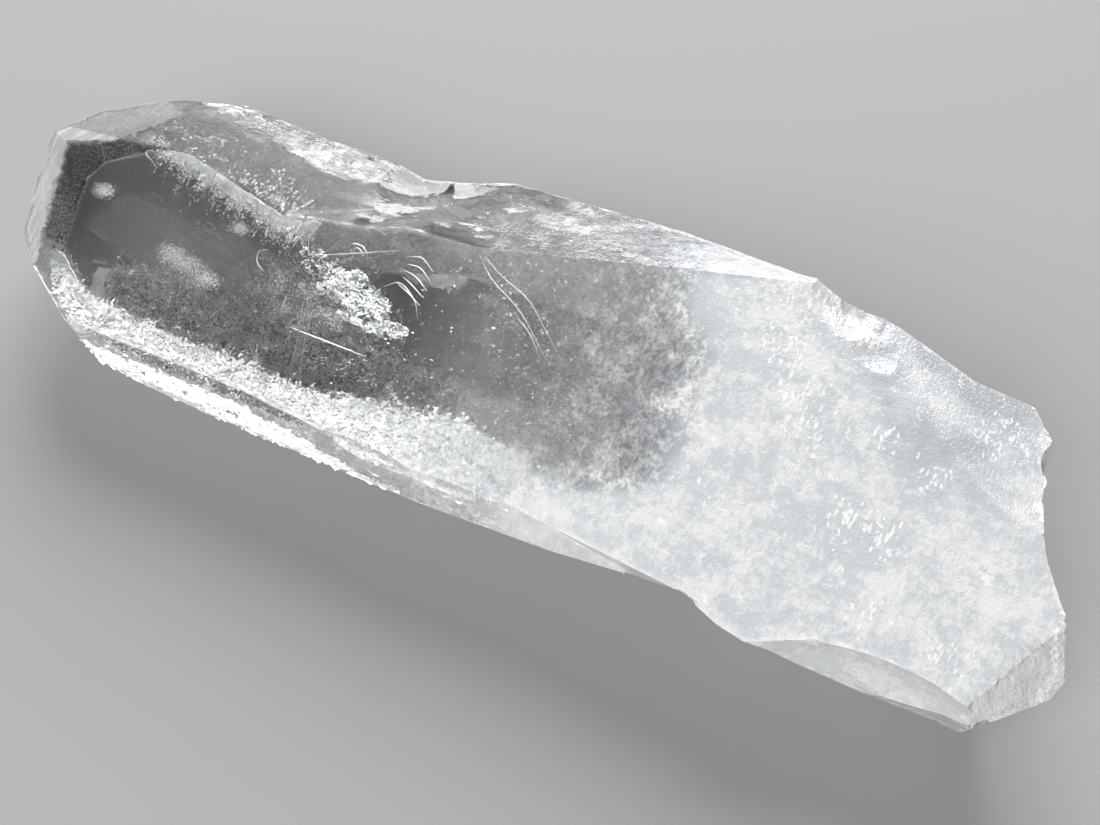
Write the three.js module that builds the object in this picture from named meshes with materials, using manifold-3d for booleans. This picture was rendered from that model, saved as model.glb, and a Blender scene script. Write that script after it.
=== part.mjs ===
// A natural quartz crystal point lying on its side: a flattened six-sided prism with a blunt, facetted tip,
// a stepped back, a chipped front edge and a rough end where it broke off its matrix.
// Millimetres. +X runs from the tip to the broken end, +Y is the back, +Z is up, and Z = 0 is the table.

import * as THREE from "three";
import { mergeVertices } from "three/addons/utils/BufferGeometryUtils.js";
import Module from "manifold-3d";

// ---- Driving dimensions ----

// The three faces on top are planes. Each is its height at a point, its rise along X and its rise along Y.
const BROAD_FACE = { at: [0, 0], height: 8.4, riseX: 0.027, riseY: 0.2125 };
const BACK_FACE = { at: [-6.6, 5], height: 9.3, riseX: 0.16, riseY: -0.4 };
const CORNER_FACE = { at: [11.4, 9], height: 10.6, riseX: -0.18, riseY: -0.075 };

// The blank runs past both ends, and the end facets trim it.
const BLANK_START = -38;
const BLANK_END = 33;

// A block that takes away all that lies outside a facet is larger than the whole crystal.
const FACET_BLOCK = 90;

// How often the faces of the ball behind each chip are divided.
const CHIP_DETAIL = 7;

const wasm = await Module();
wasm.setup();

// ---- Solids ----

function solidFrom(geometry) {
  const bare = new THREE.BufferGeometry();
  bare.setAttribute("position", geometry.getAttribute("position"));
  bare.setIndex(geometry.getIndex());
  const merged = mergeVertices(bare, 1e-4);
  return new wasm.Manifold(
    new wasm.Mesh({
      numProp: 3,
      vertProperties: merged.attributes.position.array,
      triVerts: new Uint32Array(merged.index.array),
    }),
  );
}

function geometryFrom(solid) {
  const mesh = solid.getMesh();
  const geometry = new THREE.BufferGeometry();
  geometry.setAttribute("position", new THREE.BufferAttribute(mesh.vertProperties, 3));
  geometry.setIndex(new THREE.BufferAttribute(mesh.triVerts, 1));
  return geometry;
}

// Skins a closed solid over long edges, lists of [x, y, z] corners that share their first x and their last x.
// Each strip between two edges is a zigzag through their own corners, so a flat face stays flat.
function skin(edges) {
  const firsts = [];
  let count = 0;
  for (const edge of edges) {
    firsts.push(count);
    count += edge.length;
  }
  const index = [];
  edges.forEach((edge, k) => {
    const next = (k + 1) % edges.length;
    const other = edges[next];
    let i = 0;
    let j = 0;
    while (i + 1 < edge.length || j + 1 < other.length) {
      const stepEdge = j + 1 === other.length || (i + 1 < edge.length && edge[i + 1][0] <= other[j + 1][0]);
      const a = firsts[k] + i;
      const b = firsts[next] + j;
      index.push(a, b, stepEdge ? a + 1 : b + 1);
      if (stepEdge) i += 1;
      else j += 1;
    }
  });
  const lasts = edges.map((edge, k) => firsts[k] + edge.length - 1);
  for (let k = 1; k + 1 < edges.length; k += 1) {
    index.push(firsts[0], firsts[k + 1], firsts[k]);
    index.push(lasts[0], lasts[k], lasts[k + 1]);
  }
  const geometry = new THREE.BufferGeometry();
  geometry.setAttribute("position", new THREE.Float32BufferAttribute(edges.flat(2), 3));
  geometry.setIndex(index);
  return solidFrom(geometry);
}

// The direction with this azimuth, turned from +X towards +Y, and this elevation, both in degrees.
function direction(azimuth, elevation) {
  const a = THREE.MathUtils.degToRad(azimuth);
  const e = THREE.MathUtils.degToRad(elevation);
  return new THREE.Vector3(Math.cos(a) * Math.cos(e), Math.sin(a) * Math.cos(e), Math.sin(e));
}

// Everything on the outer side of a plane through a point.
function outside({ at, azimuth, elevation }) {
  const turn = new THREE.Quaternion();
  turn.setFromUnitVectors(new THREE.Vector3(0, 0, 1), direction(azimuth, elevation));
  const block = new THREE.BoxGeometry(FACET_BLOCK, FACET_BLOCK, FACET_BLOCK);
  block.translate(0, 0, FACET_BLOCK / 2).applyQuaternion(turn);
  return solidFrom(block.translate(...at));
}

// A shell-shaped chip out of a surface that faces this way: part of a faceted ball, drawn out along X.
function chip({ at, azimuth, elevation, radius, depth, stretch = 1 }) {
  const ball = new THREE.IcosahedronGeometry(radius, CHIP_DETAIL).scale(stretch, 1, 1);
  const centre = direction(azimuth, elevation).multiplyScalar(radius - depth);
  return solidFrom(ball.translate(centre.x, centre.y, centre.z).translate(...at));
}

// ---- The prism ----

const heightOn = (face, x, y) => face.height + face.riseX * (x - face.at[0]) + face.riseY * (y - face.at[1]);
const on = (face, points) => points.map(([x, y]) => [x, y, heightOn(face, x, y)]);

// The point at x where two faces meet.
function seam(face, other, x) {
  const gap = heightOn(other, x, 0) - heightOn(face, x, 0);
  const y = gap / (face.riseY - other.riseY);
  return [x, y];
}

// The long edges of the blank run from the front edge of the broad face, round under the crystal, to its back
// edge. The two foot edges bound the flat face that it lies on.
function blank() {
  const frontEdge = on(BROAD_FACE, [
    [BLANK_START, -6.2],
    [-26.3, -6.4],
    [-14.8, -6.8],
    [-3.7, -7.9],
    [2.3, -7.8],
    [10.3, -8.7],
    [11.8, -8.9],
    [12.8, -9.6],
    [14.2, -9.9],
    [17.3, -8.6],
    [21.2, -8.95],
    [23.8, -9.6],
    [BLANK_END, -11],
  ]);
  const frontRib = [
    [BLANK_START, -7, 5.4],
    [-26.6, -6.4, 5.4],
    [-23.6, -7.35, 5],
    [-19.6, -7.75, 4.8],
    [-14.5, -8, 4.8],
    [-3.6, -8.45, 5],
    [3.7, -8.5, 5.4],
    [8.4, -8.2, 5.6],
    [10.3, -8.5, 6.6],
    [12.8, -9.1, 6.3],
    [15.2, -9.6, 6.2],
    [16.7, -9.35, 5.4],
    [20.2, -8.95, 4.2],
    [23.9, -8.4, 3],
    [BLANK_END, -6.5, 1.6],
  ];
  const frontFoot = [
    [BLANK_START, -1.9, 0],
    [-25.6, -2.1, 0],
    [-12, -2.6, 0],
    [-8, -1.4, 0],
    [-5, -1.2, 0],
    [4.4, -2.8, 0],
    [9.5, -3.1, 0],
    [19, -5.7, 0],
    [BLANK_END, -5, 0],
  ];
  const backFoot = [
    [BLANK_START, 9.6, 0],
    [-27.9, 9.5, 0],
    [-25.7, 8.7, 0],
    [-21.3, 6.7, 0],
    [-18, 5.9, 0],
    [-13, 6.2, 0],
    [-8, 7.8, 0],
    [2, 8, 0],
    [11.4, 6.9, 0],
    [BLANK_END, 3.6, 0],
  ];
  const backBelly = [
    [BLANK_START, 10.5, 3.4],
    [-24, 11.2, 3.2],
    [-12.9, 10.3, 3.2],
    [-8, 12.2, 3.4],
    [2, 11.2, 3.6],
    [11.35, 9, 4],
    [BLANK_END, 6.5, 4],
  ];
  const backRib = [
    [BLANK_START, 10, 5.8],
    [-31.7, 10.5, 6],
    [-28.1, 11.3, 6.2],
    [-25.8, 12.05, 6.2],
    [-24.5, 11.95, 6.2],
    [-19.5, 11.5, 6.2],
    [-15.4, 11.5, 6.2],
    [-12.9, 11, 6.2],
    [-10.8, 11.5, 6.2],
    ...on(BACK_FACE, [
      [-8, 13],
      [2.9, 11.5],
      [10.2, 9.5],
    ]),
    ...on(CORNER_FACE, [
      [11.35, 9.2],
      [16.1, 8.4],
      [20.4, 7.2],
      [23.4, 7.3],
      [BLANK_END, 7.3],
    ]),
  ];
  const backBreak = [
    [BLANK_START, 6.8, 6.9],
    [-29.8, 8.2, 7.6],
    [-25, 8.7, 7.8],
    [-20.9, 8, 7.9],
    [-18.1, 6.9, 8.2],
    [-16.3, 5.6, 8.6],
    [-13.1, 6.5, 8],
    [-10.8, 8.2, 7.25],
    ...on(BACK_FACE, [
      [-8, 9],
      [11.2, 9],
    ]),
    ...on(CORNER_FACE, [
      [16.1, 7],
      [BLANK_END, 2],
    ]),
  ];
  const backEdge = on(BROAD_FACE, [
    [BLANK_START, 3.9],
    [-29.4, 4.7],
    [-24.8, 5.25],
    [-21, 4.25],
    [-17.6, 3.4],
    [-13.1, 4.15],
    [-10.5, 4.9],
    seam(BROAD_FACE, BACK_FACE, -6.6),
    seam(BROAD_FACE, BACK_FACE, 11.2),
    seam(BROAD_FACE, CORNER_FACE, 12),
    seam(BROAD_FACE, CORNER_FACE, BLANK_END),
  ]);
  return skin([frontEdge, frontRib, frontFoot, backFoot, backBelly, backRib, backBreak, backEdge]);
}

// ---- Facets ----

const TIP_FACETS = [
  { at: [-32.3, 3.4, 8.25], azimuth: 210, elevation: 46 },
  { at: [-33.3, 0.6, 5.6], azimuth: 197, elevation: -17 },
  { at: [-28, -5.2, 6.3], azimuth: 235, elevation: -21 },
  { at: [-23.6, -7.4, 5], azimuth: 253, elevation: -32 },
  { at: [-32.3, 3.4, 8.25], azimuth: 135, elevation: 72 },
  { at: [-29.4, 4.7, 8.6], azimuth: 127, elevation: 66 },
  { at: [-34, 5.4, 7], azimuth: 166, elevation: -8 },
  { at: [-33.6, 7.7, 6.8], azimuth: 130, elevation: -10 },
];
const END_FACETS = [
  { at: [26.2, 1.5, 8], azimuth: 18, elevation: 8 },
  { at: [28.2, -4, 5.6], azimuth: 10, elevation: -26 },
  { at: [23.6, 7.1, 8], azimuth: 66, elevation: -14 },
  { at: [24.6, 5.9, 8], azimuth: 40, elevation: -10 },
  { at: [24.4, -9.7, 6.9], azimuth: -44, elevation: 50 },
  { at: [26.6, -8.1, 6], azimuth: -47, elevation: -14 },
  { at: [28.7, -4.9, 6.4], azimuth: -18, elevation: -10 },
];

// ---- Chips and pits ----

const TIP_CHIP = { at: [-34.1, 3, 6.3], azimuth: 197, elevation: 8, radius: 1.5, depth: 0.35 };
const FRONT_CHIPS = [
  { at: [-9, -7.4, 6.6], azimuth: -90, elevation: 40, radius: 1.5, depth: 0.1, stretch: 5 },
  { at: [-2.6, -8, 6.6], azimuth: -90, elevation: 44, radius: 1.8, depth: 0.24, stretch: 5 },
  { at: [-4, -8.2, 6.1], azimuth: -90, elevation: 26, radius: 2.4, depth: 0.16, stretch: 2 },
  { at: [0.6, -8.1, 6.2], azimuth: -90, elevation: 30, radius: 2.6, depth: 0.26, stretch: 1.6 },
  { at: [20, -8.9, 5.6], azimuth: -84, elevation: 25, radius: 3.4, depth: 0.2, stretch: 2 },
];
const BACK_CHIPS = [
  { at: [-17, 8.4, 7.5], azimuth: 80, elevation: 62, radius: 8, depth: 0.3, stretch: 1.3 },
  { at: [-12.2, 8.8, 7], azimuth: 100, elevation: 62, radius: 6, depth: 0.25 },
];
// The hollow across the broken end that leaves its back corner standing out as a knob.
const END_HOLLOWS = [
  { at: [26.35, 0.2, 7.6], azimuth: 18, elevation: 0, radius: 11, depth: 0.85 },
  { at: [25.2, 3.7, 8.4], azimuth: 30, elevation: 0, radius: 2, depth: 0.4 },
];

// Shell-shaped hollows all over the broken end, on a spiral so that no two line up. Below its ridge the end
// slopes back under the crystal.
const BREAK = {
  ridge: [26.6, 1.3, 5.6],
  azimuth: 18,
  underSlope: 0.49,
  across: 5.4,
  middleZ: 4,
  up: 3.4,
  count: 11,
};
const BREAK_HOLLOW = { radius: 6, radiusSpread: 2.4, depth: 0.4, depthSpread: 0.2, turn: 12, tilt: 10 };

function breakHollows() {
  const side = direction(BREAK.azimuth + 90, 0);
  const outward = direction(BREAK.azimuth, 0);
  const golden = Math.PI * (3 - Math.sqrt(5));
  return Array.from({ length: BREAK.count }, (_, i) => {
    const reach = Math.sqrt((i + 0.5) / BREAK.count);
    const at = new THREE.Vector3(...BREAK.ridge);
    at.z = BREAK.middleZ + BREAK.up * reach * Math.sin(golden * i);
    at.addScaledVector(side, BREAK.across * reach * Math.cos(golden * i));
    at.addScaledVector(outward, -BREAK.underSlope * Math.max(0, BREAK.ridge[2] - at.z));
    return {
      at: at.toArray(),
      azimuth: BREAK.azimuth + BREAK_HOLLOW.turn * Math.sin(2.4 * i),
      elevation: BREAK_HOLLOW.tilt * Math.cos(1.7 * i),
      radius: BREAK_HOLLOW.radius + BREAK_HOLLOW.radiusSpread * Math.sin(2.1 * i),
      depth: BREAK_HOLLOW.depth + BREAK_HOLLOW.depthSpread * Math.cos(3.3 * i),
    };
  });
}

// The bruised corner where the broad face, the back face and the corner face meet.
const CORNER_CHIPS = [
  { at: [13.2, 7.6, 10.2], azimuth: 50, elevation: 80, radius: 6, depth: 0.3 },
  { at: [15.2, 6.3, 9.95], azimuth: -20, elevation: 84, radius: 3.2, depth: 0.2 },
];

// ---- The crystal ----

function crystal() {
  const edgeChips = [TIP_CHIP, ...FRONT_CHIPS, ...BACK_CHIPS, ...CORNER_CHIPS];
  const chips = [...edgeChips, ...END_HOLLOWS, ...breakHollows()];
  let solid = blank();
  for (const cutter of [...[...TIP_FACETS, ...END_FACETS].map(outside), ...chips.map(chip)]) {
    solid = solid.subtract(cutter);
  }
  // A sliver that the chips cut loose has fallen away.
  return solid.decompose().reduce((most, body) => (body.volume() > most.volume() ? body : most));
}

const quartz = new THREE.MeshStandardMaterial({ color: 0xdfe4e6, roughness: 0.12, metalness: 0 });
const mesh = new THREE.Mesh(geometryFrom(crystal()), quartz);
mesh.name = "crystal";

// The crystal lies with the middle of its footprint over the origin.
const footprint = new THREE.Box3().setFromObject(mesh).getCenter(new THREE.Vector3());
mesh.position.set(-footprint.x, -footprint.y, 0);

const object = new THREE.Group();
object.add(mesh);

export default object;
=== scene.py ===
import math

import bmesh
import bpy
import numpy as np
from mathutils import Matrix, Vector
from mathutils.bvhtree import BVHTree


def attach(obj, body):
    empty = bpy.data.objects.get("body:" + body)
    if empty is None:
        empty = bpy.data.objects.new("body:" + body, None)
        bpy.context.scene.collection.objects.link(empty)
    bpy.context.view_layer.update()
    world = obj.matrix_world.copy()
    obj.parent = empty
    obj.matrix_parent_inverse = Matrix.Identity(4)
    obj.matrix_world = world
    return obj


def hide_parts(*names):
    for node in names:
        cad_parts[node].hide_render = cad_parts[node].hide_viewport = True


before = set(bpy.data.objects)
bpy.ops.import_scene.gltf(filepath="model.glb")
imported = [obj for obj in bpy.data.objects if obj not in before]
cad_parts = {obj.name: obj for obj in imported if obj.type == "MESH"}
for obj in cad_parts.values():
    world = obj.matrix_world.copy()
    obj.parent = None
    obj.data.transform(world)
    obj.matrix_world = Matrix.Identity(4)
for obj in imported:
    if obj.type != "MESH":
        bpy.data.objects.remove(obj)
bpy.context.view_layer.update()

# ---- The crystal's skin ----
# One natural quartz point. Its growth faces are flat and glossy, with faint steps across them, and its end is
# rough where it broke off its matrix. It is clear at the tip and clouds to milky white at the base, where
# countless tiny bubbles of water were trapped as it grew.

MM = 0.001
QUARTZ_IOR = 1.544
SKIN_CELLS = 8
SKIN_SCALE = 0.99


def object_from(mesh, name):
    made = bpy.data.objects.new(name, mesh)
    bpy.context.scene.collection.objects.link(made)
    return made


def lumps(points, size, seed):
    """Smooth noise from -1 to 1 at each point, in lumps of about this size along each axis."""
    cells = points / np.asarray(size) + seed * 17.137
    base = np.floor(cells).astype(np.int64)
    part = cells - base
    part = part * part * (3 - 2 * part)
    total = np.zeros(len(points))
    for corner in np.ndindex(2, 2, 2):
        c = base + corner
        mixed = (c[:, 0] * 73856093) ^ (c[:, 1] * 19349663) ^ (c[:, 2] * 83492791) ^ (seed * 961748941)
        mixed = ((mixed ^ (mixed >> 13)) * 1274126177) & 0xFFFFFFFF
        value = ((mixed ^ (mixed >> 16)) & 0xFFFF) / 32767.5 - 1
        total += value * np.prod(np.where(corner, part, 1 - part), axis=1)
    return total


def clouds(points, size, seed, layers=4):
    """Lumps with finer lumps on them, about -1 to 1."""
    size = np.asarray(size, dtype=float)
    return sum(lumps(points, size / 2**k, seed + k) / 2**k for k in range(layers)) / 1.4


def ramp(values, low, high):
    """0 at low, 1 at high and a soft step between them."""
    t = np.clip((values - low) / (high - low), 0, 1)
    return t * t * (3 - 2 * t)


crystal_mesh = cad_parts["crystal"].data.copy()
crystal_mesh.materials.clear()
crystal = object_from(crystal_mesh, "quartz_crystal")
joined = bmesh.new()
joined.from_mesh(crystal_mesh)
bmesh.ops.remove_doubles(joined, verts=joined.verts, dist=0.001 * MM)
joined.to_mesh(crystal_mesh)
solid = BVHTree.FromBMesh(joined)
joined.free()


def nearest(points):
    """Where the solid's surface is nearest to each point in mm: the place on it, and the way it faces."""
    found = [solid.find_nearest(Vector(p) * MM) for p in points.tolist()]
    return np.array([f[0] for f in found]) / MM, np.array([f[1] for f in found])


# The solid's faces are laid out again as small even quads that keep its sharp edges.
remesh = crystal.modifiers.new("small quads", "REMESH")
remesh.mode = "SHARP"
remesh.octree_depth = SKIN_CELLS
remesh.scale = SKIN_SCALE
bpy.context.view_layer.objects.active = crystal
bpy.ops.object.modifier_apply(modifier=remesh.name)
crystal_mesh = crystal.data

count = len(crystal_mesh.vertices)
places = np.empty(count * 3, dtype=np.float32)
crystal_mesh.vertices.foreach_get("co", places)
places = places.reshape(-1, 3).astype(float) / MM
normals = np.empty(count * 3, dtype=np.float32)
crystal_mesh.vertices.foreach_get("normal", normals)
normals = normals.reshape(-1, 3).astype(float)
faces_to = nearest(places)[1]
x, y, z = places.T

# The back edge of the broad top face, as places along x and y.
EDGE_X = [-26.5, -21.9, -18.05, -14.65, -10.15, -7.55, -3.0, 2.0, 9.0, 14.2]
EDGE_Y = [3.15, 3.7, 2.7, 1.85, 2.6, 3.35, 4.6, 5.6, 6.9, 6.9]

# The broken end, the lower front face, the band over it, the back and the tip's two bluish facets.
facing_x, facing_y, facing_z = faces_to.T
broken = ramp(x, 23.5, 26) * ramp(facing_x, 0.3, 0.6)
front_under = ramp(-facing_y, 0.3, 0.5) * ramp(-facing_z, 0.2, 0.5) * ramp(-x, -14, -8)
front_face = ramp(-facing_y, 0.6, 0.8) * ramp(facing_z, -0.2, 0.0) * ramp(-facing_z, -0.55, -0.45)
front_foot = ramp(-facing_y, 0.3, 0.5) * ramp(x, 10, 13)
back_faces = ramp(facing_y, 0.12, 0.3) * ramp(facing_z, 0.1, 0.3)
bottom = ramp(-facing_z, 0.9, 0.97)
rim = ramp(x, 22, 27.5)
tip_end = ramp(faces_to @ (-0.602, -0.347, 0.719), 0.985, 0.995)
tip_back = ramp(faces_to @ (-0.24, 0.32, 0.91), 0.985, 0.992) * ramp(-x, 22, 24)
tip_wedge = tip_back * ramp(3.95 - 0.16 * np.clip(x + 30.5, 0, None) - y, -0.06, 0.06)
BRUISE_X, BRUISE_Y = 16.9, 6.4
past_x = x - BRUISE_X
past_y = y - BRUISE_Y
bruised_corner = ramp(-np.hypot(past_x * 0.75 + past_y * 0.55, past_y * 0.9 - past_x * 0.35), -2.1, -1.2)

# Everything worn or hackly is cut inwards, so nothing stands out of the solid.
depth = 0.012 + 0.012 * clouds(places, 2.2, 3, 3)
depth += broken * 0.26 * (0.9 + clouds(places, (0.9, 1.3, 0.9), 11, 3))
depth += (1 - broken) * rim * 0.06 * ramp(clouds(places, 0.9, 17), 0.0, 0.6)
depth += back_faces * 0.07 * ramp(clouds(places, (1.6, 1.2, 1.2), 23), 0.1, 0.7)
depth += front_face * 0.05 * ramp(clouds(places, (3.5, 0.8, 0.5), 29), 0.0, 0.6)
depth += front_foot * 0.08 * ramp(clouds(places, (2.5, 1.0, 0.6), 31), 0.0, 0.7)
depth += bruised_corner * ramp(facing_z, 0.4, 0.6) * 0.22 * ramp(clouds(places, 0.75, 37), -0.5, 0.5)
DEEPEST_CUT = 0.45
depth = np.clip(depth, 0, DEEPEST_CUT) * (1 - bottom)
flatness = np.sum(normals * faces_to, axis=1)
depth *= ramp(flatness, 0.55, 0.97)
for i in np.flatnonzero(depth > 0.06):
    through = solid.ray_cast(Vector(places[i] - 0.02 * normals[i]) * MM, Vector(-normals[i]))[3]
    if through is not None:
        depth[i] = min(depth[i], 0.12 * through / MM)
ties = np.empty(len(crystal_mesh.edges) * 2, dtype=np.int32)
crystal_mesh.edges.foreach_get("vertices", ties)
ties = ties.reshape(-1, 2)
held = np.bincount(ties.ravel(), minlength=count)
for _ in range(2):
    near = np.bincount(ties[:, 0], depth[ties[:, 1]], count)
    near += np.bincount(ties[:, 1], depth[ties[:, 0]], count)
    depth = 0.5 * depth + 0.5 * near / np.maximum(held, 1)
moved = places - normals * depth[:, None]
onto, way = nearest(moved)
outside = np.sum((moved - onto) * way, axis=1) > 0
moved[outside] = onto[outside]
moved[:, 2] = np.maximum(moved[:, 2], 0)

# Where the cut has folded a thin ridge over, the ridge goes back to where it was and its spurs are smoothed.
RESTORING_STEPS = 3
SMOOTHING_STEPS = 6
for step in range(RESTORING_STEPS + SMOOTHING_STEPS):
    crystal_mesh.vertices.foreach_set("co", (moved * MM).astype(np.float32).ravel())
    crystal_mesh.update()
    middles = np.empty(len(crystal_mesh.polygons) * 3, dtype=np.float32)
    turns = middles.copy()
    crystal_mesh.polygons.foreach_get("center", middles)
    crystal_mesh.polygons.foreach_get("normal", turns)
    solid_way = nearest(middles.reshape(-1, 3).astype(float) / MM)[1]
    folded = np.flatnonzero(np.sum(turns.reshape(-1, 3) * solid_way, axis=1) < 0.25)
    if len(folded) == 0:
        break
    touched = np.zeros(count, dtype=bool)
    for i in folded:
        touched[list(crystal_mesh.polygons[i].vertices)] = True
    for _ in range(2 if step < RESTORING_STEPS else 1):
        touched[ties[touched[ties].any(axis=1)].ravel()] = True
    if step < RESTORING_STEPS:
        moved[touched] = places[touched]
    else:
        for axis in range(3):
            near = np.bincount(ties[:, 0], moved[ties[:, 1], axis], count)
            near += np.bincount(ties[:, 1], moved[ties[:, 0], axis], count)
            moved[touched, axis] = (near / np.maximum(held, 1))[touched]
        moved[:, 2] = np.maximum(moved[:, 2], 0)
for polygon in crystal_mesh.polygons:
    polygon.use_smooth = True
crystal_mesh.set_sharp_from_angle(angle=math.radians(14))


def point_values(name, values):
    layer = crystal_mesh.attributes.new(name, "FLOAT", "POINT")
    layer.data.foreach_set("value", np.clip(values, 0, 1).astype(np.float32))


# The milk thickens towards the base behind a ragged front, and the frost is what is rough or bruised white.
MILK_FRONT_Y = [-9.5, -7.5, -5.5, -3.0, 0.0, 4.0, 8.0]
MILK_FRONT_X = [3.5, 6.5, 10.5, 11.5, 10.5, 9.0, 8.0]
beyond = x - np.interp(y, MILK_FRONT_Y, MILK_FRONT_X) + 1.2 * clouds(places, 3.5, 41)
milk = 0.14 * ramp(beyond, -17, -9) + 0.30 * ramp(beyond, -10, -2.5) + 0.56 * ramp(beyond, -3.5, 2.0)
behind = y - np.interp(x, EDGE_X, EDGE_Y)
window = ramp(x, -23.5, -22) * ramp(-x, 12.5, 14) * ramp(-behind, -3.8 - 0.6 * clouds(places, 1.5, 45), -2.6)
back_cover = 0.13 + 0.34 * clouds(places, (1.8, 1.0, 1.0), 43, 5) - 0.25 * window
back_cover += 0.40 * ramp(x, -22.5, -19) * ramp(-x, 10, 14) * ramp(behind, 4.2, 5.4)
back_cover += 0.18 * ramp(x, -4, 0)
back_cover = np.clip(back_cover, 0.03, 1)
# The upper edges are whitened: partly wear, partly a painted highlight along the rim.
worn_and_highlit_edges = ramp(-flatness, -0.985, -0.93) * ramp(z, 3.5, 4.5)
frost = np.maximum(broken, 0.22 * front_face)
frost = np.maximum(frost, back_cover * back_faces * (1 - tip_back))
frost = np.maximum(frost, 0.62 * tip_end)
frost = np.maximum(frost, 0.34 * tip_back)
frost = np.maximum(frost, 0.62 * tip_wedge)
back_under = ramp(facing_y, 0.2, 0.4) * ramp(-facing_z, 0.2, 0.5)
mottled = 0.35 + 0.65 * ramp(clouds(places, 1.3, 49), -0.35, 0.25)
frost = np.maximum(frost, back_under * 0.95 * mottled * ramp(-x, -4, 0))
# Places where bright glints are painted into the milky base's colour: painted highlights, not reflections.
GLINT_SPOTS = [
    (13.5, 3.7, 1.4),
    (15.4, 1.5, 1.6),
    (16.7, -0.1, 1.6),
    (20.3, 0.4, 1.1),
    (23.0, -1.1, 1.2),
    (21.7, -4.4, 1.4),
    (19.4, -4.3, 1.4),
    (21.9, -8.1, 1.3),
    (26.1, -8.6, 1.3),
    (12.8, -5.1, 1.0),
    (11.0, -2.0, 1.0),
    (25.5, 3.2, 2.0),
    (14.5, 6.3, 1.8),
]
glint = sum(np.exp(-((x - gx) ** 2 + (y - gy) ** 2) / reach**2) for gx, gy, reach in GLINT_SPOTS)
greyed = ramp(x + 0.6 * y, 17.5, 22) * ramp(y, -3, 2) * ramp(clouds(places, 3.0, 57), -0.5, 0.3)
greyed = np.maximum(greyed, back_faces * ramp(x, 0, 6))
pitted_back = ramp(behind, 0.05, 0.25) * ramp(-behind, -4.5, -3.5)
pitted_back *= ramp(-x, 10.5, 12.5) * ramp(facing_z, 0.4, 0.6)
point_values("milk", milk)
point_values("frost", frost)
point_values("edges", worn_and_highlit_edges * (0.35 + 0.65 * ramp(clouds(places, 1.0, 53), -0.3, 0.5)))
point_values("combed", front_face)
point_values("tip", np.maximum(tip_end, tip_back))
point_values("greyed", greyed)
point_values("glints", glint)
point_values("bruise", bruised_corner * ramp(facing_z, 0.5, 0.8) * ramp(clouds(places, 0.8, 47), -0.6, 0.3))
point_values("dots", pitted_back * (1 - tip_wedge))
etched_points = front_under > 0.5
for polygon in crystal_mesh.polygons:
    polygon.material_index = int(all(etched_points[v] for v in polygon.vertices))


class Graph:
    """A material's nodes, built from the coordinates on."""

    def __init__(self, name):
        self.material = bpy.data.materials.new(name)
        self.material.use_nodes = True
        self.nodes = self.material.node_tree.nodes
        self.links = self.material.node_tree.links
        self.shader = self.nodes["Principled BSDF"]
        place = self.nodes.new("ShaderNodeTexCoord")
        scaled = self.nodes.new("ShaderNodeVectorMath")
        scaled.operation = "SCALE"
        scaled.inputs["Scale"].default_value = 1 / MM
        self.links.new(place.outputs["Object"], scaled.inputs[0])
        self.place = scaled.outputs[0]

    def set(self, socket, value):
        if isinstance(value, bpy.types.NodeSocket):
            self.links.new(value, socket)
        else:
            socket.default_value = value

    def point(self, name):
        node = self.nodes.new("ShaderNodeAttribute")
        node.attribute_name = name
        return node.outputs["Fac"]

    def math(self, operation, a, b=0.0, clamp=False):
        node = self.nodes.new("ShaderNodeMath")
        node.operation = operation
        node.use_clamp = clamp
        self.set(node.inputs[0], a)
        self.set(node.inputs[1], b)
        return node.outputs[0]

    def step(self, value, low, high, start=0.0, end=1.0):
        node = self.nodes.new("ShaderNodeMapRange")
        node.interpolation_type = "SMOOTHSTEP"
        self.set(node.inputs["Value"], value)
        for name, number in (("From Min", low), ("From Max", high), ("To Min", start), ("To Max", end)):
            self.set(node.inputs[name], number)
        return node.outputs[0]

    def stretched(self, size, turn=(0, 0, 0)):
        node = self.nodes.new("ShaderNodeMapping")
        self.links.new(self.place, node.inputs["Vector"])
        node.inputs["Rotation"].default_value = [math.radians(t) for t in turn]
        node.inputs["Scale"].default_value = [1 / s for s in size]
        return node.outputs[0]

    def noise(self, size, detail=4, rough=0.55, turn=(0, 0, 0), warp=0.0):
        node = self.nodes.new("ShaderNodeTexNoise")
        self.links.new(self.stretched(size, turn), node.inputs["Vector"])
        node.inputs["Scale"].default_value = 1
        node.inputs["Detail"].default_value = detail
        node.inputs["Roughness"].default_value = rough
        node.inputs["Distortion"].default_value = warp
        return node.outputs["Fac"]

    def shards(self, size, turn=(0, 0, 0)):
        node = self.nodes.new("ShaderNodeTexVoronoi")
        self.links.new(self.stretched(size, turn), node.inputs["Vector"])
        node.inputs["Scale"].default_value = 1
        return self.math("MULTIPLY", node.outputs["Color"], 1.0)  # one number for each shard

    def line(self, value, width):
        off_middle = self.math("ABSOLUTE", self.math("SUBTRACT", value, 0.5))
        return self.step(off_middle, width, 0.4 * width, 0.0, 1.0)

    def colour(self, factor, a, b):
        node = self.nodes.new("ShaderNodeMix")
        node.data_type = "RGBA"
        self.set(node.inputs[0], factor)
        self.set(node.inputs[6], a)
        self.set(node.inputs[7], b)
        return node.outputs[2]

    def bump(self, height, distance, below=None):
        node = self.nodes.new("ShaderNodeBump")
        node.inputs["Distance"].default_value = distance * MM
        self.set(node.inputs["Height"], height)
        if below is not None:
            self.set(node.inputs["Normal"], below)
        return node.outputs[0]


CLEAR_WHITE = (0.98, 0.99, 0.995, 1)
MILK_GREY = (0.66, 0.68, 0.70, 1)
MILK_WHITE = (0.84, 0.85, 0.85, 1)
GREYED_MILK = (0.50, 0.525, 0.56, 1)
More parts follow.
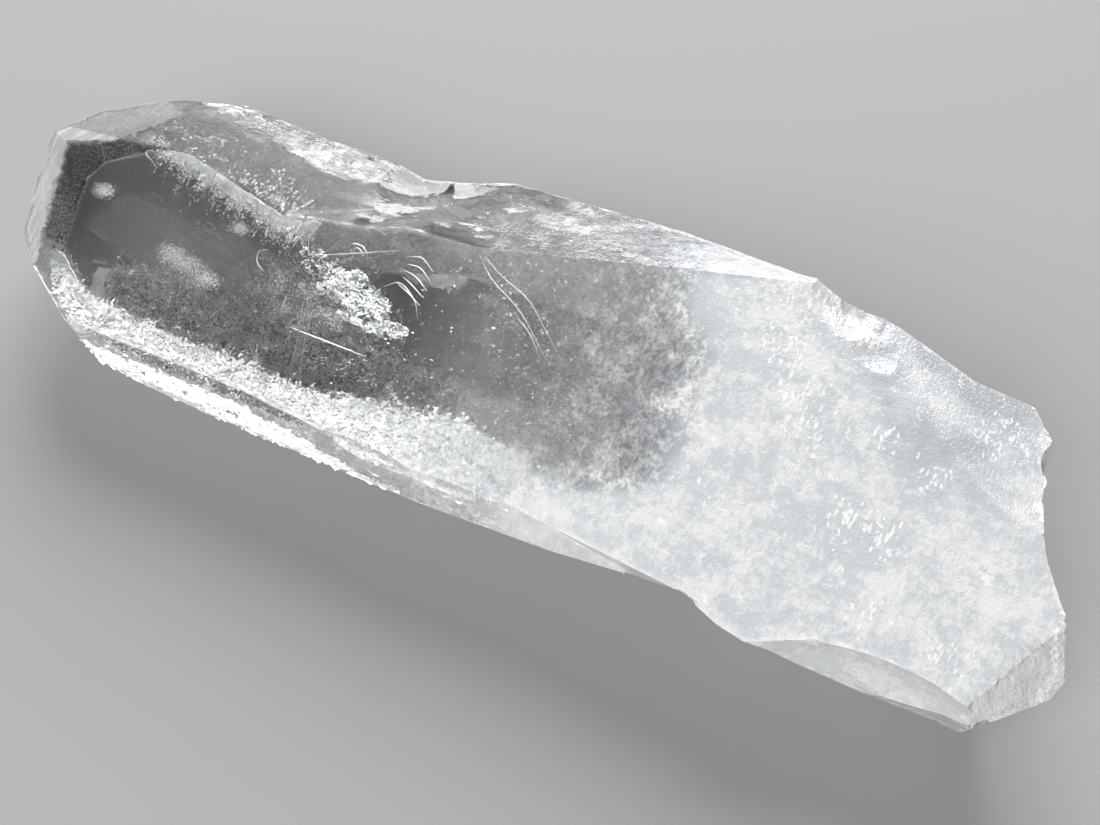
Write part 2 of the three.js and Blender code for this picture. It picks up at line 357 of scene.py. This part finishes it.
# Near-white for frost, bruises and pits, and for the painted glints on the milk.
FROST_AND_PAINTED_GLINT_WHITE = (0.98, 0.985, 0.99, 1)
ABSORPTION = 28

quartz = Graph("quartz")
shader = quartz.shader
shader.inputs["IOR"].default_value = QUARTZ_IOR

milky = quartz.point("milk")
frosted = quartz.point("frost")
bruised = quartz.point("bruise")
wisps = quartz.noise((3.0, 1.8, 1.8), detail=3, rough=0.6, turn=(0, 0, 24))
fibres = quartz.noise((0.7, 1.1, 0.9), detail=4, rough=0.74, turn=(0, 0, 12))
streaks = quartz.noise((4.0, 0.35, 0.30), detail=2, rough=0.65)
grains = quartz.noise((0.20, 0.26, 0.22), detail=2, rough=0.8)
tip_streaks = quartz.noise((0.45, 3.5, 1.5), detail=2, turn=(0, 0, 8))
veil = quartz.step(wisps, 0.3, 0.65, 0.8, 1.15)
veil = quartz.math("MULTIPLY", quartz.step(fibres, 0.3, 0.7, 0.6, 1.3), veil)
veil = quartz.math("MULTIPLY", veil, quartz.step(grains, 0.35, 0.65, 0.75, 1.25))
fog = quartz.math("MULTIPLY", milky, veil)
fog = quartz.math("MAXIMUM", fog, quartz.step(milky, 0.45, 1.0, 0.0, 0.93))
combed = quartz.step(streaks, 0.38, 0.6, 0.3, 1.0)
patchy = quartz.step(wisps, 0.35, 0.6, 0.5, 1.1)
patchy = quartz.math("MULTIPLY", quartz.step(fibres, 0.38, 0.62, 0.35, 1.2), patchy)
pattern = quartz.nodes.new("ShaderNodeMix")
quartz.set(pattern.inputs[0], quartz.point("combed"))
quartz.set(pattern.inputs[2], patchy)
quartz.set(pattern.inputs[3], combed)
smooth = quartz.nodes.new("ShaderNodeMix")
quartz.set(smooth.inputs[0], quartz.point("tip"))
quartz.set(smooth.inputs[2], pattern.outputs[0])
quartz.set(smooth.inputs[3], quartz.step(tip_streaks, 0.35, 0.65, 0.75, 1.15))
worn = quartz.math("MULTIPLY", frosted, smooth.outputs[0])
worn = quartz.math("MAXIMUM", worn, quartz.math("MULTIPLY", quartz.point("edges"), 0.8))
dots = quartz.math("MULTIPLY", quartz.point("dots"), quartz.step(grains, 0.66, 0.70))
cover = quartz.math("MAXIMUM", quartz.math("MAXIMUM", fog, worn), quartz.math("MAXIMUM", bruised, dots))
cover = quartz.math("MINIMUM", cover, 0.96)
quartz.set(shader.inputs["Transmission Weight"], quartz.math("SUBTRACT", 1.0, cover, clamp=True))

veins = quartz.line(quartz.noise((2.6, 1.3, 1.3), detail=2, turn=(0, 0, 60)), 0.045)
cracks = quartz.line(quartz.noise((3.4, 1.6, 1.6), detail=1, turn=(0, 0, 70)), 0.010)
cracks = quartz.math("MULTIPLY", cracks, quartz.step(fibres, 0.45, 0.6))
wide_shards_and_glints = quartz.shards((0.14, 0.30, 0.3), (0, 0, -20))
long_glint_cells = quartz.shards((0.6, 0.07, 0.3), (0, 0, -12))
thick_milk = quartz.math("ADD", quartz.math("MULTIPLY", wisps, 0.55), quartz.math("MULTIPLY", fibres, 0.30))
thick_milk = quartz.math("ADD", thick_milk, quartz.math("MULTIPLY", grains, 0.15))
thick_milk = quartz.math("SUBTRACT", thick_milk, quartz.math("MULTIPLY", veins, 0.05))
thick_milk = quartz.math("ADD", thick_milk, quartz.step(wide_shards_and_glints, 0.2, 0.9, -0.03, 0.03))
milk_colour = quartz.colour(quartz.step(thick_milk, 0.40, 0.60), MILK_GREY, MILK_WHITE)
milk_colour = quartz.colour(quartz.point("greyed"), milk_colour, GREYED_MILK)
# Bright angular flecks and fine crack lines are painted near-white on the milk: painted glints.
near_glints = quartz.math("MULTIPLY", quartz.point("glints"), 0.33)
glinting = quartz.step(quartz.math("ADD", wide_shards_and_glints, near_glints), 1.01, 1.03)
long_glints = quartz.math("MULTIPLY", quartz.step(long_glint_cells, 0.93, 0.95), 0.8)
glinting = quartz.math("MAXIMUM", glinting, long_glints)
glinting = quartz.math("MAXIMUM", glinting, quartz.math("MULTIPLY", cracks, 0.8))
glinting = quartz.math("MULTIPLY", glinting, quartz.step(grains, 0.38, 0.48))
milk_colour = quartz.colour(glinting, milk_colour, FROST_AND_PAINTED_GLINT_WHITE)
chipped = quartz.math("MULTIPLY", bruised, quartz.step(wide_shards_and_glints, 0.25, 0.45, 0.35, 1.0))
white = quartz.math("MAXIMUM", chipped, dots)
white = quartz.math("MAXIMUM", white, quartz.math("MULTIPLY", frosted, 0.8))
# The upper edges are painted white too, partly wear and partly a painted rim highlight.
white = quartz.math("MAXIMUM", white, quartz.math("MULTIPLY", quartz.point("edges"), 0.8))
milk_colour = quartz.colour(white, milk_colour, FROST_AND_PAINTED_GLINT_WHITE)
skin_colour = quartz.colour(quartz.step(cover, 0.0, 0.3), CLEAR_WHITE, milk_colour)
quartz.set(shader.inputs["Base Color"], skin_colour)

gloss = quartz.math("ADD", quartz.math("MULTIPLY", frosted, 0.25), 0.03)
gloss = quartz.math("ADD", gloss, quartz.math("MULTIPLY", quartz.point("dots"), 0.2))
gloss = quartz.math("ADD", gloss, quartz.math("MULTIPLY", milky, quartz.step(fibres, 0.4, 0.7, 0.05, 0.2)))
gloss = quartz.math("ADD", gloss, quartz.math("MULTIPLY", bruised, 0.3), clamp=True)
quartz.set(shader.inputs["Roughness"], gloss)

growth_steps = quartz.noise((0.35, 12, 12), detail=1)
relief = quartz.bump(growth_steps, 0.005)
relief = quartz.bump(quartz.noise((2.5, 2.5, 2.5), detail=1), 0.03, relief)
pitted = quartz.math("MULTIPLY", milky, 0.05)
pitted = quartz.math("ADD", quartz.math("MULTIPLY", quartz.point("dots"), 0.22), pitted)
relief = quartz.bump(quartz.math("MULTIPLY", pitted, grains), 1.0, relief)
rough_places = quartz.math("MAXIMUM", bruised, frosted)
hackle = quartz.math("MULTIPLY", rough_places, quartz.noise((0.5, 0.5, 0.5), detail=2, rough=0.8))
quartz.set(shader.inputs["Normal"], quartz.bump(hackle, 0.24, relief))

smoke = quartz.nodes.new("ShaderNodeVolumeAbsorption")
smoke.inputs["Color"].default_value = (0, 0, 0, 1)
smoke.inputs["Density"].default_value = ABSORPTION
quartz.links.new(smoke.outputs[0], quartz.nodes["Material Output"].inputs["Volume"])

etched = Graph("etched quartz")
etched.shader.inputs["IOR"].default_value = QUARTZ_IOR
etched.shader.inputs["Transmission Weight"].default_value = 0.25
etched.shader.inputs["Roughness"].default_value = 0.5
pale = etched.step(etched.noise((2.5, 0.5, 0.5), detail=3), 0.35, 0.65)
etched.set(etched.shader.inputs["Base Color"], etched.colour(pale, (0.9, 0.92, 0.93, 1), FROST_AND_PAINTED_GLINT_WHITE))
etched.links.new(etched.bump(etched.noise((0.5, 0.5, 0.5), detail=2), 0.1), etched.shader.inputs["Normal"])

crystal_mesh.materials.append(quartz.material)
crystal_mesh.materials.append(etched.material)
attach(crystal, "root")
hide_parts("crystal")

# ---- The frosted front ----
# The lower front face is etched and crushed, and shows through the top as a bright white band with a ragged
# upper side. It is a skin of tiny white flakes of crushed quartz, just inside the face.

BAND_FLAKES = 32000
SIDE_FLAKES = 26000
FOOT_X = [-23.5, -9.1, -5.1, -2.1, 7.3, 12.4]
FOOT_Y = [-3.6, -4.15, -2.95, -2.75, -4.35, -4.65]


def flakes(name, centres, facing, radii, material, seed, sides=3, thick=0.015, along=None, stretch=1.0):
    """Many small flat flakes in one mesh, each closed: a ragged rim with a low peak on either side."""
    rng = np.random.default_rng(seed)
    amount = len(centres)
    facing = facing / np.linalg.norm(facing, axis=1)[:, None]
    guide = rng.normal(size=(amount, 3)) if along is None else np.broadcast_to(along, (amount, 3)) + 0.0
    u = guide - facing * np.sum(guide * facing, axis=1)[:, None]
    u /= np.linalg.norm(u, axis=1)[:, None]
    v = np.cross(facing, u)
    angles = (np.arange(sides) + rng.uniform(0, 0.9, (amount, sides))) * 2 * np.pi / sides
    reach = radii[:, None] * rng.uniform(0.7, 1.4, (amount, sides))
    rim_points = centres[:, None, :] + (reach * np.cos(angles) * stretch)[:, :, None] * u[:, None, :]
    rim_points = rim_points + (reach * np.sin(angles))[:, :, None] * v[:, None, :]
    peak = facing * (radii * thick)[:, None]
    corners = np.concatenate([rim_points, (centres + peak)[:, None, :], (centres - peak)[:, None, :]], axis=1)
    ring = np.arange(sides)
    after = (ring + 1) % sides
    upper = np.stack([ring, after, np.full(sides, sides)], axis=1)
    lower = np.stack([after, ring, np.full(sides, sides + 1)], axis=1)
    triangles = np.concatenate([upper, lower])[None] + (np.arange(amount) * (sides + 2))[:, None, None]
    mesh = bpy.data.meshes.new(name)
    mesh.from_pydata((corners.reshape(-1, 3) * MM).tolist(), [], triangles.reshape(-1, 3).tolist())
    mesh.materials.append(material)
    piece = object_from(mesh, name)
    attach(piece, "root")
    return piece


def inside(points, margin):
    """Which points lie at least this far in mm under the solid's surface."""
    place, way = nearest(points)
    return np.sum((place - points) * way, axis=1) > margin


crushed = Graph("crushed quartz")
crushed.set(
    crushed.shader.inputs["Base Color"],
    crushed.colour(crushed.noise((0.8, 0.8, 0.8), detail=0), (0.94, 0.955, 0.96, 1), (0.995, 0.998, 1, 1)),
)
crushed.shader.inputs["Metallic"].default_value = 0.85
crushed.shader.inputs["Roughness"].default_value = 0.34

rng = np.random.default_rng(7)
tries = 90000
low = (-26, -10.2, -0.3)
high = (13.5, 0.5, 5.6)
where = rng.uniform(low, high, (tries, 3))
onto, way = nearest(where)
lower_front = (way[:, 2] < -0.3) & (way[:, 1] < -0.25)
floor_side = way[:, 2] < -0.95
foot = np.interp(onto[:, 0], FOOT_X, FOOT_Y)
ragged = 0.4 + 0.9 * clouds(onto, (0.7, 2.0, 2.0), 51) - 0.35 * rng.exponential(1.0, tries)
keep = (lower_front | floor_side) & (onto[:, 1] - foot < ragged)
onto, way = onto[keep], way[keep]
sunk = onto - way * (0.06 + rng.exponential(0.13, len(onto)))[:, None]
leaning = np.column_stack([clouds(sunk, 0.7, 57, 4), clouds(sunk, 0.45, 58, 4), np.zeros(len(sunk))])
level_way = np.array((0, 0, 1.0)) + 0.10 * leaning + rng.normal(scale=0.02, size=way.shape)
good = inside(sunk, 0.05)
amount = good.sum()
radii = 0.04 + rng.exponential(0.05, amount)
band = slice(0, BAND_FLAKES)
flakes("front_frost", sunk[good][band], level_way[good][band], radii[band], crushed.material, 8)

# The face over it is etched in long streaks, which shine white through that face.
where = rng.uniform((-26, -11.6, 2.5), (14, -7.6, 6.6), (300000, 3))
onto, way = nearest(where)
streaky = clouds(onto, (5.0, 0.35, 0.30), 55, 3)
below_top = 8.4 + 0.027 * (onto[:, 0] - 2.945) + 0.2125 * (onto[:, 1] + 1.55) - onto[:, 2]
grey_strip = 0.35 + 1.1 * ramp(onto[:, 0], -12, 2)
low_down = ramp(below_top, grey_strip, grey_strip + 0.5)
keep = (way[:, 1] < -0.7) & (way[:, 2] > 0.15)
keep &= rng.uniform(size=len(onto)) < ramp(0.9 * streaky + low_down, 0.4, 1.1)
onto, way = onto[keep][:SIDE_FLAKES], way[keep][:SIDE_FLAKES]
sunk = onto - way * (0.05 + rng.exponential(0.08, len(onto)))[:, None]
tilted = np.array((0.03, -0.73, 0.68)) + rng.normal(scale=0.07, size=way.shape)
good = inside(sunk, 0.04)
amount = good.sum()
radii = 0.03 + rng.exponential(0.035, amount)
along_edge = (1, 0, 0)
flakes("side_streaks", sunk[good], tilted[good], radii, crushed.material, 14, along=along_edge, stretch=2.2)

# ---- The milky cloud ----
# Between the clear tip and the white base the crystal is full of fine healed cracks and bubbles, which grow
# denser towards the base. They are tiny flakes at every depth, gathered in clots and wisps.

TOP_POINT = (2.945, -1.55, 8.4)
TOP_RISE = (0.027, 0.2125)


def under_top(points, sunk):
    """Points this deep in mm under the broad top face, from their x and y."""
    points = np.asarray(points, dtype=float)
    height = TOP_POINT[2] + (points[:, :2] - TOP_POINT[:2]) @ TOP_RISE
    return np.column_stack([points[:, :2], height - sunk])


tries = 130000
where = rng.uniform((-6, -9.5, 0.5), (13, 10.5, 10.2), (tries, 3))
clot = clouds(where, (0.9, 1.6, 1.2), 61)
dense = 0.05 + 0.3 * ramp(where[:, 0] + 1.5 * clouds(where, 3.0, 67), -5, 8)
keep = rng.uniform(size=tries) < dense * np.exp(2.2 * clot - 0.8)
where = where[keep]
where = where[inside(where, 0.15)]
amount = len(where)
facing = rng.normal(scale=0.5, size=(amount, 3)) + (0, 0, 1)
flakes("milky_cloud", where, facing, rng.uniform(0.03, 0.11, amount), crushed.material, 9)

# ---- The specks and puffs of the clear end ----
# Small clots of bubbles hang in the clear part, thickest just over the frosted front. They were trapped as
# the crystal grew, and each is a cluster of flakes too small to tell apart.

tries = 180000
where = rng.uniform((-23.5, -8.5, 2.0), (-3.5, 0.5, 6.6), (tries, 3))
clot = clouds(where, (0.8, 0.9, 0.8), 71)
high_up = where[:, 1] - (-7.6 + 0.75 * (where[:, 2] - 1.5)) - 0.10 * (where[:, 0] + 22)
dense = np.exp(-np.clip(high_up, 0, None) / 0.8) * ramp(clot, 0.15, 0.6)
where = where[rng.uniform(size=tries) < 0.5 * dense]
wispy = rng.uniform((-15.5, -6.5, 3.5), (-3.0, 2.2, 7.6), (300000, 3))
wisp = np.abs(clouds(wispy, (1.6, 1.1, 1.6), 73, 3)) + 0.25 * clouds(wispy, 0.5, 74, 2)
across_wisps = (wispy[:, 1] + 1.6 + 0.35 * (wispy[:, 0] + 10)) / 2.0
near_by = np.exp(-(((wispy[:, 0] + 10.5) / 3.6) ** 2) - across_wisps**2)
wispy = wispy[rng.uniform(size=len(wispy)) < 0.55 * near_by * ramp(-wisp, -0.16, -0.04)]
where = np.concatenate([where, wispy])
PUFFS = [
    (-26.0, 0.5, 6.5, 0.25),
    (-20.1, -1.9, 6.2, 0.35),
    (-18.9, -2.1, 6.1, 0.35),
    (-17.4, -2.6, 6.1, 0.3),
    (-17.1, 0.9, 6.9, 0.2),
]
for px, py, pz, reach in PUFFS:
    where = np.concatenate([where, rng.normal((px, py, pz), (1.4 * reach, reach, 0.6 * reach), (1100, 3))])
where = where[inside(where, 0.15)]
amount = len(where)
facing = rng.normal(scale=0.11, size=(amount, 3)) + (0, 0, 1)
flakes("specks", where, facing, rng.uniform(0.012, 0.04, amount), crushed.material, 10)

# A fine haze lines the tip's lower walls.
TIP_FLAKES = 12000
tries = 90000
where = rng.uniform((-32, -5, 0.2), (-24, 7, 7), (tries, 3))
onto, way = nearest(where)
keep = (way[:, 2] < 0.05) & (way[:, 2] > -0.8)
onto, way = onto[keep], way[keep]
where = onto - way * rng.uniform(0.05, 0.6, len(onto))[:, None]
where = where[inside(where, 0.05)][:TIP_FLAKES]
facing = rng.normal(scale=0.07, size=where.shape) + (0, 0, 1)
radii = rng.uniform(0.018, 0.038, len(where))
flakes("tip_haze", where, facing, radii, crushed.material, 15)

# ---- The shade veil ----
# Low in the clear end hangs a film of small flakes that lean to the sides, so they mirror the dim
# surroundings rather than the lamps. Through the top it shows as a dark mottled patch just behind the frosted
# front: painted shade.

SHADE_VEIL_FLAKES = 13000
tries = 60000
where = rng.uniform((-24.8, -4.2, 0.16), (-2.0, 0.4, 1.0), (tries, 3))
clot = clouds(where * (1, 1, 0), (0.9, 0.7, 1.0), 101)
keep = ramp(clot, -0.6, 0.0) * ramp(-where[:, 1] + 0.5 * clot, 0.1, 1.2) * ramp(-where[:, 0] + clot, 2.0, 4.0)
where = where[rng.uniform(size=tries) < keep]
where = where[inside(where, 0.15)][:SHADE_VEIL_FLAKES]
amount = len(where)
# The flakes lean sideways so they show the dim surroundings and darken the floor seen through: painted shade.
sideways = np.column_stack([rng.choice((-0.55, 0.55), amount), np.zeros(amount), np.ones(amount)])
sideways += rng.normal(scale=0.12, size=(amount, 3))
flakes("shade_veil", where, sideways, rng.uniform(0.05, 0.12, amount), crushed.material, 16)

# ---- The silvery crack ----
# One large healed crack slants down from the back edge. Its two walls part by a hair, so it shines like foil.
# It is a sheet of small flakes, thin where the crack starts and thick at its crumbled end.

silver = Graph("silvery crack")
silver.set(
    silver.shader.inputs["Base Color"],
    silver.colour(silver.noise((0.6, 0.6, 0.6), detail=0), (0.90, 0.93, 0.95, 1), (1.0, 1.0, 1.0, 1)),
)
silver.shader.inputs["Metallic"].default_value = 0.9
silver.shader.inputs["Roughness"].default_value = 0.30

CRACK_OUTLINE = np.array(
    [
        (-13.6, 1.6),
        (-12.4, 1.5),
        (-10.7, 0.7),
        (-9.0, 0.7),
        (-6.6, -0.4),
        (-5.2, -1.6),
        (-4.9, -2.3),
        (-5.6, -2.7),
        (-7.2, -2.6),
        (-8.8, -2.3),
        (-10.4, -1.5),
        (-12.2, -0.5),
        (-13.3, 0.5),
    ]
)


def within(outline, points):
    """How far in mm each point lies inside a closed outline, negative outside it."""
    after = np.roll(outline, -1, axis=0)
    crossed = np.zeros(len(points), dtype=bool)
    away = np.full(len(points), np.inf)
    for (x0, y0), (x1, y1) in zip(outline, after):
        px, py = points[:, 0], points[:, 1]
        spans = (y0 > py) != (y1 > py)
        crossed ^= spans & (px < (x1 - x0) * (py - y0) / (y1 - y0 if y1 != y0 else 1e-9) + x0)
        run, rise = x1 - x0, y1 - y0
        t = np.clip(((px - x0) * run + (py - y0) * rise) / (run**2 + rise**2), 0, 1)
        away = np.minimum(away, np.hypot(px - x0 - t * run, py - y0 - t * rise))
    return np.where(crossed, away, -away)


where = rng.uniform((-14.5, -3.6), (-4, 2.6), (40000, 2))
deep_in = within(CRACK_OUTLINE, where)
torn = clouds(np.column_stack([where, where[:, 0] * 0]), (0.9, 0.5, 1), 81)
keep = deep_in + 0.6 * torn > 0.25
crumbs = clouds(np.column_stack([where, where[:, 0] * 0]), (0.35, 0.25, 1), 85, 3)
thinner = 0.25 + 0.75 * ramp(where[:, 0] + 0.8 * torn, -12.5, -9)
keep &= rng.uniform(size=len(where)) < thinner * (0.25 + 0.75 * ramp(crumbs, -0.25, 0.35))
where = where[keep]
sheet = under_top(where, 1.0 + 0.10 * (where[:, 0] + 13.5) + rng.normal(scale=0.07, size=len(where)))
WAVES = (0.8, 0.4, 1)
leaning = np.column_stack([clouds(sheet, WAVES, 83, 3), clouds(sheet, WAVES, 84, 3), sheet[:, 0] * 0])
tilt = np.array((0.0, 0.0, 1.0)) + 0.20 * leaning + rng.normal(scale=0.05, size=sheet.shape)
radii = rng.uniform(0.02, 0.07, len(sheet))
crack_run = (1, -0.35, 0)
flakes("silvery_crack", sheet, tilt, radii, silver.material, 12, along=crack_run, stretch=1.6)

# ---- The back edge's white fringe ----
# Fine cracks run down from the back edge of the top face, combed out along the faint growth steps. They are
# slim flakes just under the surface.

along_x = rng.uniform(-25.5, -12.5, 32000)
combs = lumps(np.column_stack([along_x, along_x * 0, along_x * 0]), 0.35, 91)
inwards = rng.exponential(0.55, len(along_x)) * (0.6 + 0.5 * combs)
where = np.column_stack([along_x, np.interp(along_x, EDGE_X, EDGE_Y) - 0.05 - np.abs(inwards)])
fade = ramp(along_x, -24.5, -20)
where = where[rng.uniform(size=len(where)) < fade * 0.8]
fringe = under_top(where, rng.uniform(0.12, 0.5, len(where)))
fringe = fringe[inside(fringe, 0.08)]
leaning = rng.normal(scale=0.12, size=fringe.shape) + (0, 0, 1)
sizes = rng.uniform(0.012, 0.035, len(fringe))

# The pitted back behind that edge is full of bright points, gathered in clots.
pits = rng.uniform((-25, 0.2, 0), (-12.5, 3.6, 1), (60000, 3))
clot = clouds(np.column_stack([pits[:, :2], pits[:, 0] * 0]), (1.0, 0.7, 1), 95)
pits = pits[rng.uniform(size=len(pits)) < 0.10 * ramp(clot, -0.1, 0.5) * np.exp(-pits[:, 1] / 1.3)]
pits[:, 1] += np.interp(pits[:, 0], EDGE_X, EDGE_Y)
onto, way = nearest(pits * (1, 1, 0) + (0, 0, 9.5))
back_pits = (onto - way * 0.08)[way[:, 2] > 0.6]
turned = rng.normal(scale=0.10, size=back_pits.shape) + (0, 0.24, 0.97)
fringe = np.concatenate([fringe, back_pits])
leaning = np.concatenate([leaning, turned])
sizes = np.concatenate([sizes, rng.uniform(0.02, 0.055, len(back_pits))])
flakes("back_fringe", fringe, leaning, sizes, crushed.material, 13, along=(0, 1, 0), stretch=3.0)

# ---- Hairlines ----
# Single fine cracks, needles of another mineral, and the ribs that a crack leaves where it stopped and went
# on. Each is a thin tapered thread just under the top face.


def threads(name, paths, sunk, radius, material, sides=6, steps=14):
    """Fine tapered threads through points on a path under the top face, all in one mesh."""
    points = []
    faces = []
    for path in paths:
        path = np.asarray(path, dtype=float)
        ends = np.vstack([2 * path[0] - path[1], path, 2 * path[-1] - path[-2]])
        spread = np.linspace(0, len(path) - 1, steps)
        row = []
        for s in spread:
            i = min(int(s), len(path) - 2)
            t = s - i
            p0, p1, p2, p3 = ends[i : i + 4]
            bend = 2 * p0 - 5 * p1 + 4 * p2 - p3
            twist = 3 * p1 - p0 - 3 * p2 + p3
            row.append(0.5 * (2 * p1 + (p2 - p0) * t + bend * t**2 + twist * t**3))
        line = under_top(np.array(row), sunk)
        ahead = np.gradient(line, axis=0)
        ahead /= np.linalg.norm(ahead, axis=1)[:, None]
        side = np.cross(ahead, (0, 0, 1.0))
        up = np.cross(side, ahead)
        thick = radius * (0.25 + 0.75 * np.sin(np.linspace(0.05, np.pi - 0.05, steps)))
        first = len(points)
        for k in range(steps):
            for j in range(sides):
                a = 2 * math.pi * j / sides
                points.append(line[k] + thick[k] * (1.6 * math.cos(a) * side[k] + 0.7 * math.sin(a) * up[k]))
        for k in range(steps - 1):
            for j in range(sides):
                a = first + k * sides + j
                b = first + k * sides + (j + 1) % sides
                faces.append((a, b, b + sides, a + sides))
        faces.append(tuple(first + j for j in reversed(range(sides))))
        faces.append(tuple(first + (steps - 1) * sides + j for j in range(sides)))
    mesh = bpy.data.meshes.new(name)
    mesh.from_pydata([tuple(p * MM) for p in points], [], faces)
    mesh.materials.append(material)
    piece = object_from(mesh, name)
    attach(piece, "root")
    return piece


RIBS = [
    [(-7.1, 2.02), (-6.29, 2.23), (-5.34, 1.65)],
    [(-6.91, 1.63), (-6.12, 1.64), (-5.26, 1.11)],
    [(-6.91, 1.24), (-6.09, 1.07), (-5.16, 0.51)],
    [(-6.77, 0.84), (-6.09, 0.56), (-5.18, 0.06)],
    [(-6.84, 0.37), (-6.08, 0.06), (-5.13, -0.43)],
    [(-10.48, 1.11), (-10.36, 1.74), (-9.78, 1.81), (-9.23, 1.47)],
    [(-10.19, 1.15), (-9.99, 1.61), (-9.45, 1.4)],
    [(-10.33, 2.41), (-9.78, 3.0), (-8.81, 2.87)],
    [(-7.54, -0.07), (-6.77, 0.46), (-5.59, -0.21), (-4.87, -1.21)],
]
CRACK_LINES = [
    [(-13.39, 2.3), (-13.01, 1.63), (-12.39, 0.32)],
    [(-12.42, 0.25), (-10.19, 1.15), (-7.63, 2.22)],
    [(-3.42, 3.48), (-2.09, 2.27), (0.11, 1.03), (2.53, -1.05)],
    [(-3.22, 3.55), (-1.81, 2.69), (0.23, 1.82), (1.79, 0.51), (3.27, -0.79)],
    [(0.1, 0.66), (1.16, -0.02), (2.26, -1.21)],
    [(-24.05, 3.4), (-24.59, 3.3), (-24.46, 3.0), (-23.89, 2.74)],
    [(-14.69, -0.14), (-15.11, -0.42), (-14.92, -1.01), (-14.33, -1.39)],
    [(-12.35, -2.26), (-12.28, -2.87), (-12.23, -3.3)],
    [(4.7, 1.05), (4.72, 0.33), (5.02, -1.06)],
]
NEEDLES = [
    [(-11.37, -3.88), (-9.11, -3.96), (-6.58, -4.05)],
    [(-11.31, -2.34), (-10.47, -4.75), (-9.79, -7.2)],
    [(-10.61, -2.6), (-9.97, -4.88), (-9.18, -7.0)],
]
threads("crack_ribs", RIBS, 0.7, 0.026, crushed.material)
threads("crack_lines", CRACK_LINES, 0.65, 0.022, crushed.material)
threads("needles", NEEDLES, 0.8, 0.032, silver.material)

# ---- The floor, the lights and the camera ----
# A plain pale sheet under the crystal, one wide soft light behind and above it, and one in front.

FLOOR_HALF = 1.5
floor_mesh = bpy.data.meshes.new("floor")
half = FLOOR_HALF
corners = [(-half, -half, 0), (half, -half, 0), (half, half, 0), (-half, half, 0)]
floor_mesh.from_pydata(corners, [], [(0, 1, 2, 3)])
floor = object_from(floor_mesh, "floor")
FLOOR_DROP = 0.05 * MM
floor.location.z = -FLOOR_DROP
paper = Graph("pale paper")
paper.shader.inputs["Base Color"].default_value = (0.40, 0.40, 0.395, 1)
paper.shader.inputs["Roughness"].default_value = 0.9
floor_mesh.materials.append(paper.material)


def soft_light(name, azimuth, elevation, distance, size, watts):
    light = bpy.data.lights.new(name, "AREA")
    light.shape = "DISK"
    light.size = size
    light.energy = watts
    lamp = bpy.data.objects.new(name, light)
    bpy.context.scene.collection.objects.link(lamp)
    a = math.radians(azimuth)
    e = math.radians(elevation)
    way = Vector((math.cos(a) * math.cos(e), math.sin(a) * math.cos(e), math.sin(e)))
    lamp.location = distance * way
    lamp.rotation_euler = way.to_track_quat("Z", "Y").to_euler()
    return lamp


soft_light("key", azimuth=105, elevation=33, distance=0.38, size=0.34, watts=2.0)
soft_light("fill", azimuth=-100, elevation=42, distance=0.5, size=0.4, watts=2.0)

world = bpy.data.worlds.new("studio")
bpy.context.scene.world = world
world.use_nodes = True
world.node_tree.nodes["Background"].inputs["Color"].default_value = (0.95, 0.975, 1, 1)
world.node_tree.nodes["Background"].inputs["Strength"].default_value = 0.12

scene = bpy.context.scene
scene.view_settings.view_transform = "Standard"
scene.cycles.max_bounces = 10
scene.cycles.transmission_bounces = 10
scene.cycles.glossy_bounces = 4
scene.cycles.diffuse_bounces = 3
scene.cycles.use_light_tree = False

# The camera looks down on the crystal at the same slant as a person leaning over it.
FRAME_WIDE = 1100
LENS_PIXELS = 1400
PIXELS_PER_MM = 18.4
CAMERA_ELEVATION = math.radians(56)
CAMERA_TURN = math.radians(23.6)
AIM = Vector((2.945, -1.55, 4.0)) * MM
across = Vector((math.cos(CAMERA_TURN), math.sin(CAMERA_TURN), 0))
level = Vector((-math.sin(CAMERA_TURN), math.cos(CAMERA_TURN), 0))
ahead = level * math.cos(CAMERA_ELEVATION) - Vector((0, 0, math.sin(CAMERA_ELEVATION)))
upward = level * math.sin(CAMERA_ELEVATION) + Vector((0, 0, math.cos(CAMERA_ELEVATION)))
camera_data = bpy.data.cameras.new("camera")
camera_data.sensor_fit = "HORIZONTAL"
camera_data.sensor_width = 36
camera_data.lens = camera_data.sensor_width * LENS_PIXELS / FRAME_WIDE
camera_data.clip_start = 1 * MM
camera = bpy.data.objects.new("camera", camera_data)
scene.collection.objects.link(camera)
turn = Matrix((across, upward, -ahead)).transposed()
camera.matrix_world = Matrix.Translation(AIM - ahead * (LENS_PIXELS / PIXELS_PER_MM * MM)) @ turn.to_4x4()
scene.camera = camera
